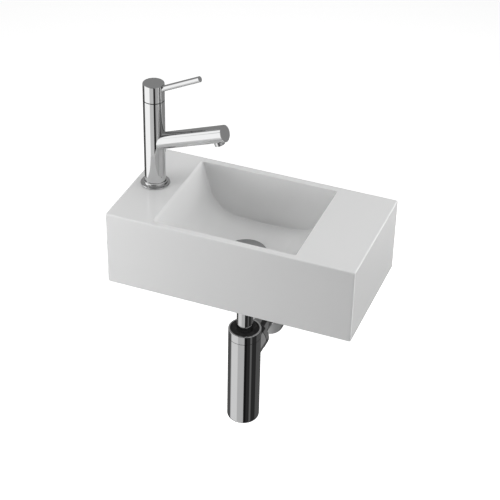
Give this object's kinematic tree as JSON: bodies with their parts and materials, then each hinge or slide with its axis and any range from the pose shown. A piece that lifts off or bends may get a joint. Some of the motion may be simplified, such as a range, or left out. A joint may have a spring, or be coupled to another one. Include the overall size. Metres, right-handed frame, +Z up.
{
  "type": "wall hung basin",
  "caption": "Compact wall hung hand basin in glazed ceramic with a side-mounted lever tap, a click waste cover and a chrome bottle trap that drains into the wall.",
  "frame": {"origin": "on the wall face, midway between the axes of the two hanger bolts", "axes": "+X along the wall towards the dry deck on the right, +Y into the wall, +Z up"},
  "size_m": [0.4, 0.273, 0.635],
  "materials": {
    "glaze": "glossy white glaze",
    "chrome": "polished chrome plate",
    "brass": "plain turned brass",
    "rubber": "black rubber",
    "steel": "zinc-plated steel",
    "nylon": "natural nylon",
    "plastic": "black moulded plastic",
    "mesh": "grey moulded plastic",
    "alumina": "lapped alumina ceramic"
  },
  "bodies": {
    "fixed": {"basin_ceramic": "glaze", "tap_body": "chrome", "tap_foot_ring": "chrome", "tap_foot_seal": "rubber", "handle_glide_ring": "plastic", "headwork_body": "brass", "headwork_disc_fixed": "alumina", "aerator_housing": "chrome", "aerator_insert": "mesh", "aerator_seal": "rubber", "tap_tail": "brass", "tap_deck_seal": "rubber", "tap_deck_washer": "steel", "tap_back_nut": "brass", "waste_body": "chrome", "waste_flange_seal": "rubber", "waste_lower_seal": "rubber", "waste_lower_washer": "nylon", "waste_back_nut": "brass", "click_cartridge": "brass", "trap_inlet_nut": "chrome", "trap_inlet_gasket": "rubber", "trap_dip_tube": "chrome", "trap_top_nut": "chrome", "trap_top_seal": "rubber", "trap_cup_seal": "rubber", "trap_body": "chrome", "trap_outlet_seal": "rubber", "trap_outlet_nut": "chrome", "trap_outlet_tube": "chrome", "wall_rosette": "chrome", "hanger_bolts": "steel", "fixing_sleeves": "nylon", "fixing_washers": "steel", "fixing_nuts": "steel"},
    "handle": {"handle_cap": "chrome", "lever_pin": "chrome", "handle_grub_screw": "steel", "headwork_spindle": "brass", "headwork_disc_turning": "alumina"},
    "waste_plug": {"waste_cover": "chrome", "click_plunger": "brass", "waste_cover_seal": "rubber"}
  },
  "joints": [
    {"name": "handle_turn", "type": "hinge", "parent": "fixed", "child": "handle", "pos_m": [-0.167, -0.101, 0.2], "axis": [0, 0, 1], "range_deg": [-90, 0]},
    {"name": "cover_lift", "type": "slide", "parent": "fixed", "child": "waste_plug", "axis": [0, 0, 1], "range_m": [0, 0.007]}
  ]
}
